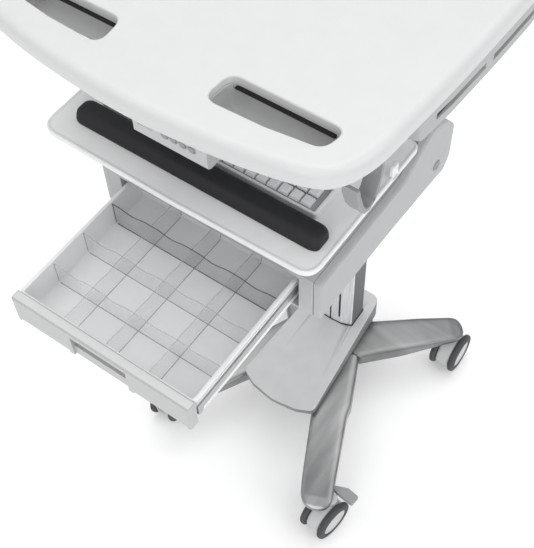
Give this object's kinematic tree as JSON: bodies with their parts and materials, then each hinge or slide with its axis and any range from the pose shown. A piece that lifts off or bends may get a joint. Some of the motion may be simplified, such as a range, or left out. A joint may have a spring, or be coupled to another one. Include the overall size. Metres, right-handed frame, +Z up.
{
  "type": "medication cart",
  "caption": "Height-adjustable medication cart with a worksurface, keyboard tray, divided drawer, telescoping column and four-leg base on twin-wheel casters.",
  "frame": {"origin": "on the floor under the middle of the overall bounding box", "axes": "+X to the right of a person standing in front, +Y towards the back (the drawer opens towards -Y), +Z up"},
  "size_m": [0.572, 0.7624, 1.19],
  "materials": {
    "white_shell": "satin",
    "light_plastic": "satin",
    "gray_plastic": "satin",
    "mid_gray_plastic": "satin",
    "black_plastic": "satin",
    "black_rubber": "matte",
    "foam": "matte",
    "cast_metal": "polished",
    "hub_metal": "painted",
    "column_metal": "satin anodised",
    "tyre_tread": "matte",
    "drawer_shell": "translucent satin",
    "clear_divider": "clear plastic",
    "runner_metal": "satin",
    "key_caps": "satin"
  },
  "bodies": {
    "base": {"base_hub": "hub_metal", "leg_front_right": "cast_metal", "leg_front_left": "cast_metal", "leg_rear_right": "cast_metal", "leg_rear_left": "cast_metal", "base_cover": "light_plastic", "column_outer": "column_metal", "column_gasket": "black_rubber"},
    "column_stage": {"column_middle": "column_metal"},
    "lift_head": {"column_inner": "column_metal", "head_bracket": "mid_gray_plastic", "worksurface": "white_shell", "side_rail_right": "gray_plastic", "side_rail_left": "gray_plastic", "keypad_module": "light_plastic", "accessory_hook": "mid_gray_plastic", "keyboard_tray": "white_shell", "wrist_rest": "foam", "keyboard_body": "white_shell", "keyboard_keys": "key_caps", "drawer_housing": "mid_gray_plastic", "side_panel_right": "gray_plastic", "side_panel_left": "gray_plastic", "screw_cap_right": "mid_gray_plastic", "screw_cap_left": "mid_gray_plastic"},
    "lever_right": {"release_lever_right": "black_plastic"},
    "lever_left": {"release_lever_left": "black_plastic"},
    "drawer": {"drawer_tub": "drawer_shell", "drawer_front": "drawer_shell", "drawer_runner_right": "runner_metal", "drawer_runner_left": "runner_metal", "divider_long_1": "clear_divider", "divider_long_2": "clear_divider", "divider_long_3": "clear_divider", "divider_cross_1": "clear_divider", "divider_cross_2": "clear_divider", "divider_cross_3": "clear_divider"},
    "button_1": {"keypad_button_1": "mid_gray_plastic"},
    "button_2": {"keypad_button_2": "mid_gray_plastic"},
    "button_3": {"keypad_button_3": "mid_gray_plastic"},
    "button_4": {"keypad_button_4": "mid_gray_plastic"},
    "swivel_front_right": {"caster_front_right_hood": "gray_plastic"},
    "wheels_front_right": {"caster_front_right_tyre_a": "tyre_tread", "caster_front_right_tyre_b": "tyre_tread", "caster_front_right_wheel_hub": "light_plastic"},
    "pedal_front_right": {"caster_front_right_brake_pedal": "gray_plastic"},
    "swivel_front_left": {"caster_front_left_hood": "gray_plastic"},
    "wheels_front_left": {"caster_front_left_tyre_a": "tyre_tread", "caster_front_left_tyre_b": "tyre_tread", "caster_front_left_wheel_hub": "light_plastic"},
    "pedal_front_left": {"caster_front_left_brake_pedal": "gray_plastic"},
    "swivel_rear_right": {"caster_rear_right_hood": "gray_plastic"},
    "wheels_rear_right": {"caster_rear_right_tyre_a": "tyre_tread", "caster_rear_right_tyre_b": "tyre_tread", "caster_rear_right_wheel_hub": "light_plastic"},
    "swivel_rear_left": {"caster_rear_left_hood": "gray_plastic"},
    "wheels_rear_left": {"caster_rear_left_tyre_a": "tyre_tread", "caster_rear_left_tyre_b": "tyre_tread", "caster_rear_left_wheel_hub": "light_plastic"}
  },
  "joints": [
    {"name": "lift_slide", "type": "slide", "parent": "base", "child": "lift_head", "axis": [0, 0, 1], "range_m": [-0.347, 0.103]},
    {"name": "column_stage_slide", "type": "slide", "parent": "base", "child": "column_stage", "axis": [0, 0, 1], "range_m": [-0.1735, 0.0515]},
    {"name": "drawer_slide", "type": "slide", "parent": "lift_head", "child": "drawer", "axis": [0, 1, 0], "range_m": [0, 0.2355]},
    {"name": "release_lever_right_press", "type": "slide", "parent": "lift_head", "child": "lever_right", "axis": [0, 1, 0], "range_m": [0, 0.005], "stiffness_N_per_m": 1500},
    {"name": "release_lever_left_press", "type": "slide", "parent": "lift_head", "child": "lever_left", "axis": [0, 1, 0], "range_m": [0, 0.005], "stiffness_N_per_m": 1500},
    {"name": "keypad_button_1_press", "type": "slide", "parent": "lift_head", "child": "button_1", "axis": [0, 1, 0], "range_m": [0, 0.0015], "stiffness_N_per_m": 900},
    {"name": "keypad_button_2_press", "type": "slide", "parent": "lift_head", "child": "button_2", "axis": [0, 1, 0], "range_m": [0, 0.0015], "stiffness_N_per_m": 900},
    {"name": "keypad_button_3_press", "type": "slide", "parent": "lift_head", "child": "button_3", "axis": [0, 1, 0], "range_m": [0, 0.0015], "stiffness_N_per_m": 900},
    {"name": "keypad_button_4_press", "type": "slide", "parent": "lift_head", "child": "button_4", "axis": [0, 1, 0], "range_m": [0, 0.0015], "stiffness_N_per_m": 900},
    {"name": "caster_front_right_swivel", "type": "hinge", "parent": "base", "child": "swivel_front_right", "pos_m": [0.2, -0.1082, 0.093], "axis": [0, 0, 1], "continuous": true},
    {"name": "caster_front_right_roll", "type": "hinge", "parent": "swivel_front_right", "child": "wheels_front_right", "pos_m": [0.19791, -0.12305, 0.043], "axis": [0.9903, -0.139, 0], "continuous": true},
    {"name": "caster_front_right_brake", "type": "hinge", "parent": "swivel_front_right", "child": "pedal_front_right", "pos_m": [0.20221, -0.09245, 0.086], "axis": [0.9903, -0.139, 0], "range_deg": [-12, 0]},
    {"name": "caster_front_left_swivel", "type": "hinge", "parent": "base", "child": "swivel_front_left", "pos_m": [-0.2, -0.1082, 0.093], "axis": [0, 0, 1], "continuous": true},
    {"name": "caster_front_left_roll", "type": "hinge", "parent": "swivel_front_left", "child": "wheels_front_left", "pos_m": [-0.2015, -0.09328, 0.043], "axis": [-0.995, -0.1, 0], "continuous": true},
    {"name": "caster_front_left_brake", "type": "hinge", "parent": "swivel_front_left", "child": "pedal_front_left", "pos_m": [-0.19841, -0.12402, 0.086], "axis": [-0.995, -0.1, 0], "range_deg": [-12, 0]},
    {"name": "caster_rear_right_swivel", "type": "hinge", "parent": "base", "child": "swivel_rear_right", "pos_m": [0.212, 0.3508, 0.093], "axis": [0, 0, 1], "continuous": true},
    {"name": "caster_rear_right_roll", "type": "hinge", "parent": "swivel_rear_right", "child": "wheels_rear_right", "pos_m": [0.21215, 0.3358, 0.043], "axis": [0.9999, 0.01, 0], "continuous": true},
    {"name": "caster_rear_left_swivel", "type": "hinge", "parent": "base", "child": "swivel_rear_left", "pos_m": [-0.212, 0.3508, 0.093], "axis": [0, 0, 1], "continuous": true},
    {"name": "caster_rear_left_roll", "type": "hinge", "parent": "swivel_rear_left", "child": "wheels_rear_left", "pos_m": [-0.2102, 0.33591, 0.043], "axis": [0.9927, 0.1203, 0], "continuous": true}
  ],
  "couplings": [
    {"joint": "column_stage_slide", "follows": "lift_slide", "ratio": 0.5}
  ]
}
